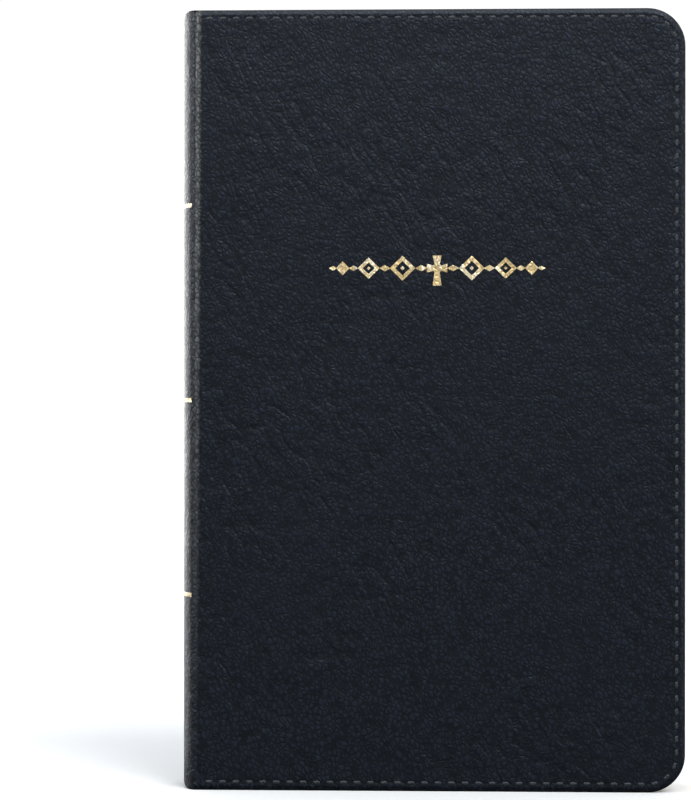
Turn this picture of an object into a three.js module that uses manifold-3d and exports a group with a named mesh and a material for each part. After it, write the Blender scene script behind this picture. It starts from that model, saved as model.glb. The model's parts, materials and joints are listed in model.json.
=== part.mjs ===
// A closed, leather-bound Bible of hand size, standing on its tail edge.
//
// Millimetres. +Z runs up the height of the book, +X from the spine to the fore-edge, and the front
// cover faces -Y. The origin is under the middle of the book, on the surface that it stands on.
//
// Each half of the book is made in a frame of its own: X as in the book, Y up from mid-height, and Z
// the distance outwards from the plane that parts the two halves. One group turns that frame to the
// front and another turns it to the back.
import * as THREE from 'three';
import { mergeVertices } from 'three/addons/utils/BufferGeometryUtils.js';
import Module from 'manifold-3d';

const wasm = await Module();
wasm.setup();

// ---- Driving dimensions ----------------------------------------------------------------------------
const HEIGHT = 217;
const WIDTH = 140;
const THICKNESS = 24;
const SQUARE = 3; // how far the covers stand past the text block
const CORNER_RADIUS = 10.5; // of the covers, at the fore-edge
const FORE_EDGE = WIDTH / 2;
const MIDDLE = HEIGHT / 2;
const SKIN = THICKNESS / 2; // the covers' outer faces, from the parting plane

// Cover leather, boards and endpapers, as distances from the parting plane
const LEATHER = 0.8;
const TURN_IN = { width: 1.2, inner: 10.6 }; // the leather folded round the edge of the board
const BOARD = { inner: 10.65, outer: 11.15, inset: 1.4 };
const PASTEDOWN = { inner: 10.45, outer: 10.6, inset: 3.2 };
const FLYLEAF = { inner: 10.2, outer: 10.4 };
const CENTRE_LEAF = { inner: 0.25, outer: 0.45 };

// Text block
const BLOCK_INNER = 0.55;
const BLOCK_OUTER = 10.1;
const SECTIONS_PER_HALF = 10;
const SECTION_GAP = 0.05;
const BLOCK_BACK = -65.6; // the block's shoulder at the spine, on its outermost sections
const ROUNDING = 2; // how far the rounded back and the hollow fore-edge bow at the middle
const BLOCK_FORE_EDGE = FORE_EDGE - SQUARE - 0.5;
const PAGE_RADIUS = CORNER_RADIUS - SQUARE;

// Spine
const SPINE = { halfWidth: 11.7, bow: 3.3, leather: 0.9, inlayGap: 0.1, inlay: 0.3, inlayHalfWidth: 9 };
const COVER_START = -65.6; // the covers' spine-side edge, just past the hinge line
const MULL = { gap: 0.1, thickness: 0.2, halfWidth: 9.8 };
const LINING = { gap: 0.35, thickness: 0.15, halfWidth: 9.2 };
const BAND = { gap: -1.1, thickness: 1.4, height: 2, halfWidth: 9.3, clearance: 0.05 };

// The curves of the spine and of the block's back are arcs about lines on the parting plane
const radiusOfBow = (halfWidth, bow) => (halfWidth ** 2 + bow ** 2) / (2 * bow);
const SPINE_RADIUS = radiusOfBow(SPINE.halfWidth, SPINE.bow);
const SPINE_CENTRE = SPINE_RADIUS - WIDTH / 2;
const BACK_RADIUS = radiusOfBow(BLOCK_OUTER, ROUNDING);
const BACK_CENTRE = BLOCK_BACK - ROUNDING + BACK_RADIUS;

// Foil and thread, which lie in shallow recesses of the leather
const FOIL = { depth: 0.3, outer: 0.1, thickness: 0.15, clearance: 0.05 };
const THREAD = { inset: 2.4, width: 0.5, grooveWidth: 0.8, grooveDepth: 0.35, outer: 0.05, thickness: 0.22 };
const ORNAMENT = { x: 1.4, z: 145.1 };
const RULE_HEIGHT = 1.2;
const SPINE_MARK_Z = 76;

const RIBBON = { width: 10, thickness: 0.2, x: -62, top: 210, bottom: 12 };

const CORNER_STEPS = 5;
const SPINE_STEPS = 10;

// ---- Materials -------------------------------------------------------------------------------------
const finish = (color, roughness, metalness = 0) =>
  new THREE.MeshStandardMaterial({ color, roughness, metalness });

const leather = finish(0x23282f, 0.5);
const thread = finish(0x4a525c, 0.7);
const foil = finish(0xcdb98c, 0.3, 1);
const board = finish(0x8d8474, 0.9);
const endpaper = finish(0x23262c, 0.8);
const paper = finish(0xf0ead8, 0.85);
const cloth = finish(0xe2dccb, 0.95);
const band = finish(0xd8d2c0, 0.8);
const satin = finish(0x1d2a4a, 0.4);

// ---- Helpers ---------------------------------------------------------------------------------------
function named(name, geometry, material) {
  const mesh = new THREE.Mesh(geometry, material);
  mesh.name = name;
  return mesh;
}

// A flat sheet or slab: an outline between two distances from the parting plane.
function slab(outline, inner, outer) {
  const settings = { depth: outer - inner, bevelEnabled: false, curveSegments: CORNER_STEPS };
  return new THREE.ExtrudeGeometry(outline, settings).translate(0, 0, inner);
}

function solidOf(geometry) {
  const bare = geometry.clone();
  bare.deleteAttribute('normal');
  bare.deleteAttribute('uv');
  const merged = mergeVertices(bare);
  const vertProperties = Float32Array.from(merged.attributes.position.array);
  const triVerts = Uint32Array.from(merged.index.array);
  return new wasm.Manifold(new wasm.Mesh({ numProp: 3, vertProperties, triVerts }));
}

function geometryOf(solid) {
  const { vertProperties, triVerts } = solid.getMesh();
  const geometry = new THREE.BufferGeometry();
  geometry.setAttribute('position', new THREE.BufferAttribute(vertProperties, 3));
  geometry.setIndex(new THREE.BufferAttribute(triVerts, 1));
  geometry.computeVertexNormals();
  return geometry;
}

// An outline with square corners at the spine and round ones at the fore-edge.
function panelOutline(spineSide, foreEdge, halfHeight, radius) {
  const outline = new THREE.Shape();
  outline.absarc(foreEdge - radius, radius - halfHeight, radius, -Math.PI / 2, 0, false);
  outline.absarc(foreEdge - radius, halfHeight - radius, radius, 0, Math.PI / 2, false);
  outline.lineTo(spineSide, halfHeight);
  outline.lineTo(spineSide, -halfHeight);
  return outline;
}

// The cover's outline drawn in from its three free edges by inset.
function coverOutline(inset, spineSide = COVER_START) {
  return panelOutline(spineSide, FORE_EDGE - inset, MIDDLE - inset, CORNER_RADIUS - inset);
}

// A band of the given width that runs round head, fore-edge and tail, like the line of stitching.
function stitchBand(width, start, inner, outer) {
  const outside = solidOf(slab(coverOutline(THREAD.inset - width / 2, start), inner, outer));
  const hole = coverOutline(THREAD.inset + width / 2, start - 1);
  return outside.subtract(solidOf(slab(hole, inner - 1, outer + 1)));
}

// ---- Foil ornament ---------------------------------------------------------------------------------
function lozenge(x, y, halfWidth, halfHeight) {
  const outline = new THREE.Shape();
  outline.moveTo(x - halfWidth, y);
  outline.lineTo(x, y - halfHeight);
  outline.lineTo(x + halfWidth, y);
  outline.lineTo(x, y + halfHeight);
  return outline;
}

// One arm of a cross: narrow where it meets the others and flared at its end.
function crossArm(length, waist, flare, turn) {
  const outline = new THREE.Shape();
  outline.moveTo(-waist, 0);
  outline.lineTo(waist, 0);
  outline.lineTo(flare, length);
  outline.lineTo(-flare, length);
  const corners = outline.getPoints().map((p) => p.rotateAround(new THREE.Vector2(), turn));
  return new THREE.Shape(corners);
}

function crossOutlines(size, grow) {
  const waist = 0.09 * size + grow;
  const flare = 0.15 * size + grow;
  const up = crossArm(0.42 * size + grow, waist, flare, 0);
  const down = crossArm(0.58 * size + grow, waist, flare, Math.PI);
  const left = crossArm(0.34 * size + grow, waist, flare, Math.PI / 2);
  const right = crossArm(0.34 * size + grow, waist, flare, -Math.PI / 2);
  return [lozenge(0, 0, 0.2 * size + grow, 0.2 * size + grow), up, down, left, right];
}

// A cross between two chains of lozenges, which touch at their tips and get smaller outwards. Each has
// its distance from the cross, its half width and half height, and the share of it that is left open.
const CROSS_SIZE = 8.4;
const CHAIN = [
  { x: 4.4, halfWidth: 1.8, halfHeight: 0.9, open: 0 },
  { x: 9.6, halfWidth: 3.6, halfHeight: 3.5, open: 0.56 },
  { x: 14.5, halfWidth: 1.6, halfHeight: 0.9, open: 0 },
  { x: 19, halfWidth: 3.1, halfHeight: 3, open: 0.52 },
  { x: 23.2, halfWidth: 1.4, halfHeight: 0.8, open: 0 },
  { x: 26.2, halfWidth: 1.9, halfHeight: 2, open: 0 },
  { x: 28.9, halfWidth: 1.2, halfHeight: 0.7, open: 0 },
];

function ornamentOutlines(grow) {
  const outlines = crossOutlines(CROSS_SIZE, grow);
  for (const side of [-1, 1]) {
    for (const { x, halfWidth, halfHeight, open } of CHAIN) {
      const outline = lozenge(side * x, 0, halfWidth + grow, halfHeight + grow);
      if (open > 0) {
        outline.holes.push(lozenge(side * x, 0, open * halfWidth - grow, open * halfHeight - grow));
      }
      outlines.push(outline);
    }
  }
  return outlines;
}

function joined(outlines, inner, outer) {
  const solids = outlines.map((outline) => solidOf(slab(outline, inner, outer)));
  return solids.reduce((whole, piece) => whole.add(piece));
}

function coverOrnament(grow, inner, outer) {
  return joined(ornamentOutlines(grow), inner, outer).translate([ORNAMENT.x, ORNAMENT.z - MIDDLE, 0]);
}

// ---- Covers ----------------------------------------------------------------------------------------
// The leather is a shallow tray: its rim is the turn-in, and the board lies in it.
function coverLeather(withOrnament) {
  const pocketOutline = panelOutline(
    COVER_START - 1,
    FORE_EDGE - TURN_IN.width,
    MIDDLE - TURN_IN.width,
    CORNER_RADIUS - TURN_IN.width,
  );
  let tray = solidOf(slab(coverOutline(0), TURN_IN.inner, SKIN));
  tray = tray.subtract(solidOf(slab(pocketOutline, TURN_IN.inner - 1, SKIN - LEATHER)));
  tray = tray.subtract(stitchBand(THREAD.grooveWidth, COVER_START + 1, SKIN - THREAD.grooveDepth, SKIN + 1));
  if (withOrnament) {
    tray = tray.subtract(coverOrnament(FOIL.clearance, SKIN - FOIL.depth, SKIN + 1));
  }
  return geometryOf(tray);
}

function cover(side, withOrnament) {
  const group = new THREE.Group();
  const threadOuter = SKIN - THREAD.outer;
  const threadBody = stitchBand(THREAD.width, COVER_START + 1.2, threadOuter - THREAD.thickness, threadOuter);
  const boardOutline = panelOutline(
    COVER_START + 2,
    FORE_EDGE - BOARD.inset,
    MIDDLE - BOARD.inset,
    CORNER_RADIUS - BOARD.inset,
  );
  const pasteOutline = coverOutline(PASTEDOWN.inset, COVER_START + 0.6);
  group.add(named(`${side}_cover_leather`, coverLeather(withOrnament), leather));
  group.add(named(`${side}_cover_stitching`, geometryOf(threadBody), thread));
  group.add(named(`${side}_cover_board`, slab(boardOutline, BOARD.inner, BOARD.outer), board));
  group.add(named(`${side}_pastedown`, slab(pasteOutline, PASTEDOWN.inner, PASTEDOWN.outer), endpaper));
  if (withOrnament) {
    const outer = SKIN - FOIL.outer;
    const body = geometryOf(coverOrnament(0, outer - FOIL.thickness, outer));
    group.add(named(`${side}_foil_ornament`, body, foil));
  }
  return group;
}

// ---- Text block ------------------------------------------------------------------------------------
// A leaf at a distance from the parting plane: the rounding shifts it towards the spine.
function leafOutline(distance) {
  const back = BACK_CENTRE - Math.sqrt(BACK_RADIUS ** 2 - Math.min(distance, BLOCK_OUTER) ** 2);
  const foreEdge = BLOCK_FORE_EDGE + back - BLOCK_BACK;
  return panelOutline(back, foreEdge, MIDDLE - SQUARE, PAGE_RADIUS);
}

function halfBlock(side) {
  const group = new THREE.Group();
  const pitch = (BLOCK_OUTER - BLOCK_INNER) / SECTIONS_PER_HALF;
  for (let i = 0; i < SECTIONS_PER_HALF; i += 1) {
    const outer = BLOCK_OUTER - i * pitch;
    const inner = outer - pitch + SECTION_GAP;
    const number = String(i + 1).padStart(2, '0');
    const geometry = slab(leafOutline(outer), inner, outer);
    group.add(named(`${side}_section_${number}`, geometry, paper));
  }
  const flyleaf = slab(leafOutline(BLOCK_OUTER), FLYLEAF.inner, FLYLEAF.outer);
  const centreLeaf = slab(leafOutline(0), CENTRE_LEAF.inner, CENTRE_LEAF.outer);
  group.add(named(`${side}_flyleaf`, flyleaf, endpaper));
  group.add(named(`${side}_centre_leaf`, centreLeaf, paper));
  return group;
}

// ---- Spine -----------------------------------------------------------------------------------------
// A curved strip that bows towards -X about a line at centre, with half its angle on either side.
function curvedStrip({ centre, inner, outer, half, low, high }) {
  const outline = new THREE.Shape();
  outline.absarc(centre, 0, outer, Math.PI - half, Math.PI + half, false);
  outline.absarc(centre, 0, inner, Math.PI + half, Math.PI - half, true);
  const settings = { depth: high - low, bevelEnabled: false, curveSegments: SPINE_STEPS };
  return new THREE.ExtrudeGeometry(outline, settings).translate(0, 0, low);
}

// A strip of the spine's outer surface, between two depths below it.
function spineStrip(deep, shallow, halfWidth, low, high) {
  const inner = SPINE_RADIUS - deep;
  const outer = SPINE_RADIUS - shallow;
  const half = Math.asin(halfWidth / SPINE_RADIUS);
  return curvedStrip({ centre: SPINE_CENTRE, inner, outer, half, low, high });
}

// A strip behind the block's rounded back, at a gap from it.
function backStrip(gap, thickness, halfWidth, low, high) {
  const inner = BACK_RADIUS + gap;
  const half = Math.asin(halfWidth / BACK_RADIUS);
  return curvedStrip({ centre: BACK_CENTRE, inner, outer: inner + thickness, half, low, high });
}

// A cross as a prism along X, to cut from or keep of a curved strip at the middle of the spine.
function spineMark(grow) {
  const reach = 4;
  const prism = joined(crossOutlines(5.4, grow), -reach, reach);
  return prism.rotate([90, 0, -90]).translate([-WIDTH / 2, 0, SPINE_MARK_Z]);
}

const RULE_HEIGHTS = { lower: HEIGHT / 4, middle: HEIGHT / 2, upper: (3 * HEIGHT) / 4 };
const RULE_HALF_WIDTH = 11;
const MARK_HALF_WIDTH = 5;

function ruleRecess(z) {
  const half = RULE_HEIGHT / 2 + FOIL.clearance;
  return solidOf(spineStrip(FOIL.depth, -1, RULE_HALF_WIDTH + 0.2, z - half, z + half));
}

function spineLeather() {
  let skin = solidOf(spineStrip(SPINE.leather, 0, SPINE.halfWidth, 0, HEIGHT));
  for (const z of Object.values(RULE_HEIGHTS)) {
    skin = skin.subtract(ruleRecess(z));
  }
  const low = SPINE_MARK_Z - MARK_HALF_WIDTH;
  const pocket = solidOf(spineStrip(FOIL.depth, -1, MARK_HALF_WIDTH, low, low + 2 * MARK_HALF_WIDTH));
  return geometryOf(skin.subtract(pocket.intersect(spineMark(FOIL.clearance))));
}

function spineFoil() {
  const deep = FOIL.outer + FOIL.thickness;
  const pieces = Object.entries(RULE_HEIGHTS).map(([place, z]) => {
    const strip = spineStrip(deep, FOIL.outer, RULE_HALF_WIDTH, z - RULE_HEIGHT / 2, z + RULE_HEIGHT / 2);
    return named(`spine_rule_${place}`, strip, foil);
  });
  const low = SPINE_MARK_Z - MARK_HALF_WIDTH;
  const patch = solidOf(spineStrip(deep, FOIL.outer, MARK_HALF_WIDTH, low, low + 2 * MARK_HALF_WIDTH));
  pieces.push(named('spine_ornament', geometryOf(patch.intersect(spineMark(0))), foil));
  return pieces;
}

function blockBand(name, low) {
  const strip = backStrip(BAND.gap, BAND.thickness, BAND.halfWidth, low, low + BAND.height);
  return named(name, strip, band);
}

function spine() {
  const group = new THREE.Group();
  const inlayOuter = SPINE.leather + SPINE.inlayGap;
  const inlayInner = inlayOuter + SPINE.inlay;
  const inlay = spineStrip(inlayInner, inlayOuter, SPINE.inlayHalfWidth, SQUARE / 2, HEIGHT - SQUARE / 2);
  const blockTop = HEIGHT - SQUARE;
  const mull = backStrip(MULL.gap, MULL.thickness, MULL.halfWidth, 12, HEIGHT - 12);
  const lining = backStrip(LINING.gap, LINING.thickness, LINING.halfWidth, 6, HEIGHT - 6);
  group.add(named('spine_leather', spineLeather(), leather));
  group.add(named('spine_inlay', inlay, board));
  group.add(named('mull_cloth', mull, cloth));
  group.add(named('spine_lining', lining, board));
  group.add(blockBand('head_band', blockTop + BAND.clearance));
  group.add(blockBand('tail_band', SQUARE - BAND.clearance - BAND.height));
  group.add(...spineFoil());
  return group;
}

// ---- Ribbon marker ---------------------------------------------------------------------------------
function ribbonMarker() {
  const length = RIBBON.top - RIBBON.bottom;
  const ribbon = named('ribbon_marker', new THREE.BoxGeometry(RIBBON.width, RIBBON.thickness, length), satin);
  ribbon.position.set(RIBBON.x, 0, RIBBON.bottom + length / 2);
  return ribbon;
}

// ---- The whole book --------------------------------------------------------------------------------
function halfOfBook(side, turn, withOrnament) {
  const half = new THREE.Group();
  half.add(cover(side, withOrnament));
  half.add(halfBlock(side));
  half.rotation.x = turn;
  half.position.z = MIDDLE;
  return half;
}

const group = new THREE.Group();
group.add(spine());
group.add(halfOfBook('front', Math.PI / 2, true));
group.add(halfOfBook('back', -Math.PI / 2, false));
group.add(ribbonMarker());

export default group;
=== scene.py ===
import json
import math
import random

import bmesh
import bpy
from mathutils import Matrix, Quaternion, Vector


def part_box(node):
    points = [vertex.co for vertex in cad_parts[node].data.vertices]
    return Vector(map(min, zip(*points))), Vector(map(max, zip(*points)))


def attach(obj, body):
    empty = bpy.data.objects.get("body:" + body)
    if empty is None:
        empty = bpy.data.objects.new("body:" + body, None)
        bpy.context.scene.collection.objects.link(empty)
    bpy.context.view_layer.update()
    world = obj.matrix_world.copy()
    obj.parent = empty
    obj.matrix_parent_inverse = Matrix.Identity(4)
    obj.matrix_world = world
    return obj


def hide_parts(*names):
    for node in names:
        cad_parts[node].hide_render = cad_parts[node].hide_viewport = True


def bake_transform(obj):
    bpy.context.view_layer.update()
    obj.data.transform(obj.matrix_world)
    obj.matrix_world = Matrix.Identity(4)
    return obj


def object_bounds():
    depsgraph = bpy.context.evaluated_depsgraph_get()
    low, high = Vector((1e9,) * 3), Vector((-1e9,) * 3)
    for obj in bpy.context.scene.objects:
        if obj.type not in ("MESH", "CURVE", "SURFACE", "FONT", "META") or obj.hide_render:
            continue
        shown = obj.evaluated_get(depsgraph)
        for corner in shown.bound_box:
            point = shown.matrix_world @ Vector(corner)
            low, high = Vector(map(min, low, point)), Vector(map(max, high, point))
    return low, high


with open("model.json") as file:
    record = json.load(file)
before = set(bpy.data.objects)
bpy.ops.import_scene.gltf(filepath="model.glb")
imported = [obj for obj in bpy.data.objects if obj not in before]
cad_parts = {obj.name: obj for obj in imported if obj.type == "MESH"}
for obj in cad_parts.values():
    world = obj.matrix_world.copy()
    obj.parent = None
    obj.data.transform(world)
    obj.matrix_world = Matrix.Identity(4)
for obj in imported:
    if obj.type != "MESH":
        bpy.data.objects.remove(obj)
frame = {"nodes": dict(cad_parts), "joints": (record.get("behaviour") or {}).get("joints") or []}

CAD_LOW, CAD_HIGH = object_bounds()

# ---- Sizes -----------------------------------------------------------------------------------------
# Metres, in the frame's own axes: X from spine to fore-edge, Z up, front cover towards -Y. Each half of
# the book is described by (x, depth, z), where depth is the distance outwards from the parting plane.
MM = 0.001
SIDES = {"front": -1, "back": 1}
JOINTS = {joint["name"]: joint for joint in frame["joints"]}
HEIGHT = CAD_HIGH.z
FORE_EDGE = CAD_HIGH.x
SKIN = CAD_HIGH.y                      # the covers' outer faces
SPINE_APEX = CAD_LOW.x
HINGE_X = JOINTS["front_pages_open"]["pos_m"][0]

CORNER_RADIUS = 10.5 * MM              # of the covers, at the fore-edge
PAGE_RADIUS = 7.5 * MM
STITCH_INSET = 2.4 * MM
STITCH_PITCH = 3.72 * MM
SHOULDER = (                           # the relief beside the hinge line: x past it, and fall, in mm
    (0.00, 0.520), (0.12, 0.460), (0.35, 0.330), (0.60, 0.190), (0.85, 0.080), (1.10, 0.020), (1.35, 0.000),
    (1.65, 0.035), (1.90, 0.110), (2.15, 0.140), (2.45, 0.105), (2.85, 0.040), (3.35, 0.000),
)
SHOULDER_LEAN = 0.30                   # how much further from the hinge line it is at the head, in mm
SHOULDER_STRETCH = 1.40                # and how many times wider it is there


def depth_range(node):
    """A node's nearest and furthest distance from the parting plane."""
    low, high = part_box(node)
    near, far = sorted((abs(low.y), abs(high.y)))
    return near, far


# ---- Mesh helpers ----------------------------------------------------------------------------------
def new_piece(name, points, faces, materials, slots=None, sharp_degrees=38):
    """A mesh object with outward normals, smooth but for sharp edges, that keeps each point's place."""
    mesh = bpy.data.meshes.new(name)
    mesh.from_pydata([tuple(p) for p in points], [], faces)
    for material in materials:
        mesh.materials.append(material)
    if slots is not None:
        mesh.polygons.foreach_set("material_index", slots)
    work = bmesh.new()
    work.from_mesh(mesh)
    bmesh.ops.recalc_face_normals(work, faces=work.faces)
    for face in work.faces:
        face.smooth = True
    for edge in work.edges:
        if len(edge.link_faces) == 2 and edge.calc_face_angle(0) > math.radians(sharp_degrees):
            edge.smooth = False
    work.to_mesh(mesh)
    work.free()
    rest = mesh.attributes.new("rest", "FLOAT_VECTOR", "POINT")
    rest.data.foreach_set("vector", [c for vertex in mesh.vertices for c in vertex.co])
    piece = bpy.data.objects.new(name, mesh)
    bpy.context.scene.collection.objects.link(piece)
    return piece


def in_half(side, points):
    """Points given as (x, depth, z), in the frame's axes."""
    sign = SIDES[side]
    return [(x, sign * depth, z) for x, depth, z in points]


def steps(start, end, count):
    """Evenly spaced values from start to end."""
    return [start + (end - start) * i / count for i in range(count + 1)]


def spread(start, end, first, growth, largest):
    """Values from start to end whose spacing begins at first and grows up to largest."""
    values, gap = [start], first
    while values[-1] + 1.5 * gap < end:
        values.append(values[-1] + gap)
        gap = min(gap * growth, largest)
    return values + [end]


def rounded_loop(inset, xs, zs, fore_edge, low, high, radius, corner_steps):
    """Round head, fore-edge and tail, drawn in by inset: the points of a book's three free edges."""
    centre_x = fore_edge - radius
    turn = [math.radians(90 * k / corner_steps) for k in range(1, corner_steps)]
    reach = radius - inset
    loop = [(x, high - inset) for x in xs]
    loop += [(centre_x + reach * math.sin(a), high - radius + reach * math.cos(a)) for a in turn]
    loop += [(fore_edge - inset, z) for z in reversed(zs)]
    loop += [(centre_x + reach * math.cos(a), low + radius - reach * math.sin(a)) for a in turn]
    loop += [(x, low + inset) for x in reversed(xs)]
    return loop


def panel(levels, xs, zs, fore_edge, low, high, radius, corner_steps):
    """A closed panel with round fore-edge corners, as (points, faces, level of each face).

    levels are (inset, depth) pairs that run from the outer face, round the edge, to the inner face. xs end
    at the corners' centre, and zs run from one corner's centre to the other's.
    """
    points, faces, kinds = [], [], []
    loops = []
    for inset, depth in levels:
        loop = rounded_loop(inset, xs, zs, fore_edge, low, high, radius, corner_steps)
        loops.append([len(points) + i for i in range(len(loop))])
        points += [(x, depth, z) for x, z in loop]
    for level, (a, b) in enumerate(zip(loops, loops[1:])):
        for i in range(len(a) - 1):
            faces.append((a[i], a[i + 1], b[i + 1], b[i]))
            kinds.append(level)
    columns = []
    falling = list(reversed(zs))
    for loop, (_, depth) in ((loops[0], levels[0]), (loops[-1], levels[-1])):
        grid = {}
        for i, x in enumerate(xs):
            for j, z in enumerate(falling):
                grid[i, j] = len(points)
                points.append((x, depth, z))
        last_x, last_z = len(xs) - 1, len(falling) - 1
        kind = 0 if loop is loops[0] else len(levels) - 2
        cells = []
        for i in range(last_x):
            for j in range(last_z):
                cells.append((grid[i, j], grid[i + 1, j], grid[i + 1, j + 1], grid[i, j + 1]))
            cells.append((loop[i], loop[i + 1], grid[i + 1, 0], grid[i, 0]))
            from_end = len(loop) - 1 - i
            cells.append((loop[from_end], loop[from_end - 1], grid[i + 1, last_z], grid[i, last_z]))
        right = last_x + corner_steps
        for j in range(last_z):
            cells.append((grid[last_x, j], loop[right + j], loop[right + j + 1], grid[last_x, j + 1]))
        for k in range(corner_steps):
            cells.append((grid[last_x, 0], loop[last_x + k], loop[last_x + k + 1]))
            tail = right + last_z + k
            cells.append((grid[last_x, last_z], loop[tail], loop[tail + 1]))
        faces += cells
        kinds += [kind] * len(cells)
        columns.append([grid[0, j] for j in range(last_z + 1)])
    outer, inner = columns
    for j in range(len(outer) - 1):
        faces.append((outer[j], outer[j + 1], inner[j + 1], inner[j]))
        kinds.append(-1)
    faces.append(tuple([loop[0] for loop in loops] + [inner[0], outer[0]]))
    faces.append(tuple([loop[-1] for loop in loops] + [inner[-1], outer[-1]]))
    kinds += [-1, -1]
    return points, faces, kinds


def sheet_levels(outer, inner, edge, margin):
    """The levels of a plain sheet or slab with softened edges."""
    return [
        (margin, outer),
        (edge, outer),
        (0.3 * edge, outer - 0.3 * edge),
        (0, outer - edge),
        (0, inner + edge),
        (0.3 * edge, inner + 0.3 * edge),
        (edge, inner),
        (margin, inner),
    ]


# ---- Materials -------------------------------------------------------------------------------------
class Shader:
    """A material whose nodes are added one at a time."""

    def __init__(self, name):
        self.material = bpy.data.materials.new(name)
        self.material.use_nodes = True
        self.tree = self.material.node_tree
        self.tree.nodes.clear()
        self.output = self.tree.nodes.new("ShaderNodeOutputMaterial")
        self.surface = self.tree.nodes.new("ShaderNodeBsdfPrincipled")
        self.tree.links.new(self.surface.outputs["BSDF"], self.output.inputs["Surface"])

    def node(self, kind, inputs=None, **settings):
        """A new node, with its settings, and its inputs linked or set."""
        made = self.tree.nodes.new("ShaderNode" + kind)
        for key, value in settings.items():
            setattr(made, key, value)
        for key, value in (inputs or {}).items():
            self.set(made.inputs[key], value)
        return made

    def set(self, socket, value):
        if isinstance(value, bpy.types.NodeSocket):
            self.tree.links.new(value, socket)
        else:
            socket.default_value = value

    def place(self, scale=(1, 1, 1), own_mesh=True, turn=(0, 0, 0)):
        """Each point's place at rest, stretched by scale and then turned."""
        if own_mesh:
            source = self.node("Attribute", attribute_name="rest").outputs["Vector"]
        else:
            source = self.node("TexCoord").outputs["Object"]
        mapping = self.node("Mapping", {"Vector": source, "Scale": scale, "Rotation": turn})
        return mapping.outputs["Vector"]

    def stretched(self, vector, scale):
        return self.node("Mapping", {"Vector": vector, "Scale": scale}).outputs["Vector"]

    def noise(self, vector, scale, detail=3.0, roughness=0.55):
        inputs = {"Vector": vector, "Scale": scale, "Detail": detail, "Roughness": roughness}
        return self.node("TexNoise", inputs).outputs["Fac"]

    def cells(self, vector, scale):
        """The distance from the edges of irregular cells."""
        inputs = {"Vector": vector, "Scale": scale}
        return self.node("TexVoronoi", inputs, feature="DISTANCE_TO_EDGE").outputs["Distance"]

    def math(self, operation, a, b=0.0):
        made = self.node("Math", operation=operation)
        self.set(made.inputs[0], a)
        self.set(made.inputs[1], b)
        return made.outputs[0]

    def blend_of(self, a, share_a, b, share_b):
        """a and b, each times its share, added up."""
        return self.math("ADD", self.math("MULTIPLY", a, share_a), self.math("MULTIPLY", b, share_b))

    def span(self, value, from_low, from_high, to_low=0.0, to_high=1.0, smooth=False):
        """The value carried from one range to another, and held at its ends."""
        inputs = {"Value": value, "From Min": from_low, "From Max": from_high, "To Min": to_low,
                  "To Max": to_high}
        kind = "SMOOTHSTEP" if smooth else "LINEAR"
        return self.node("MapRange", inputs, interpolation_type=kind).outputs["Result"]

    def mix(self, factor, a, b):
        made = self.node("Mix", data_type="RGBA")
        self.set(made.inputs["Factor"], factor)
        self.set(made.inputs[6], a)
        self.set(made.inputs[7], b)
        return made.outputs[2]

    def bump(self, height, distance, strength=1.0, normal=None):
        inputs = {"Height": height, "Distance": distance, "Strength": strength}
        if normal is not None:
            inputs["Normal"] = normal
        return self.node("Bump", inputs).outputs["Normal"]

    def finish(self, **values):
        """Sets the surface's inputs by name and returns the material."""
        for key, value in values.items():
            self.set(self.surface.inputs[key.replace("_", " ")], value)
        return self.material


def rgb(red, green, blue):
    return (red, green, blue, 1.0)


PEBBLE_SCALE = 860.0                   # noise and cell scales are in cycles per metre
PEBBLE_STRETCH = 0.72
PEBBLE_DEGREES = 16
GROOVE_END, PEBBLE_START = 0.02, 0.30
MOTTLE_SCALE = 250.0
SLANT_CREASES = {"scale": 230.0, "stretch": 0.40, "degrees": 24, "width": 0.13}
LEVEL_CREASES = {"scale": 200.0, "stretch": 2.2, "degrees": 8, "width": 0.12}
GRAIN_DEPTH = 0.00013
# Painted shade: the grain's grooves are painted nearly black, standing in for the shade in them.
GROOVE_PAINTED_SHADE = rgb(0.0004, 0.0009, 0.0022)
PEBBLE_TONE = rgb(0.0082, 0.0118, 0.0200)
# Painted shade: the creases are painted darker, standing in for the shade in the folds.
CREASE_PAINTED_SHADE = rgb(0.0010, 0.0017, 0.0036)
CLOUD_TONE = rgb(0.0034, 0.0052, 0.0090)
# Painted highlight: a pale tone laid along the shoulder ridge beside the hinge line.
PAINTED_RIDGE_HIGHLIGHT = rgb(0.125, 0.120, 0.112)
RIDGE_AT_TAIL = 0.35 * MM              # how far the painted ridge highlight is from the hinge line at the tail
RIDGE_LEAN = 0.70 * MM                 # and how much further it is at the head
RIDGE_CORE, RIDGE_EDGE = 0.20 * MM, 1.25 * MM


def swirl(shader, place, scale, amount):
    """The place moved about by a soft noise, so that cells and creases aren't regular."""
    noise = shader.node("TexNoise", {"Vector": place, "Scale": scale, "Detail": 2.0}).outputs["Color"]
    moved = shader.node("VectorMath", operation="MULTIPLY_ADD")
    shader.set(moved.inputs[0], noise)
    shader.set(moved.inputs[1], (amount, amount, amount))
    shader.set(moved.inputs[2], place)
    return moved.outputs[0]


def creases(shader, scale, stretch, degrees, width):
    """Lines of folded skin that run mostly one way: 0 in a crease and 1 away from it."""
    place = shader.stretched(shader.place(turn=(0.0, math.radians(degrees), 0.0)), (1.0, 1.0, stretch))
    noise = shader.noise(swirl(shader, place, 0.6 * scale, 0.5 / scale), scale, 1.5, 0.5)
    away = shader.math("ABSOLUTE", shader.math("SUBTRACT", noise, 0.5))
    return shader.span(away, 0.0, width, smooth=True)


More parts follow.
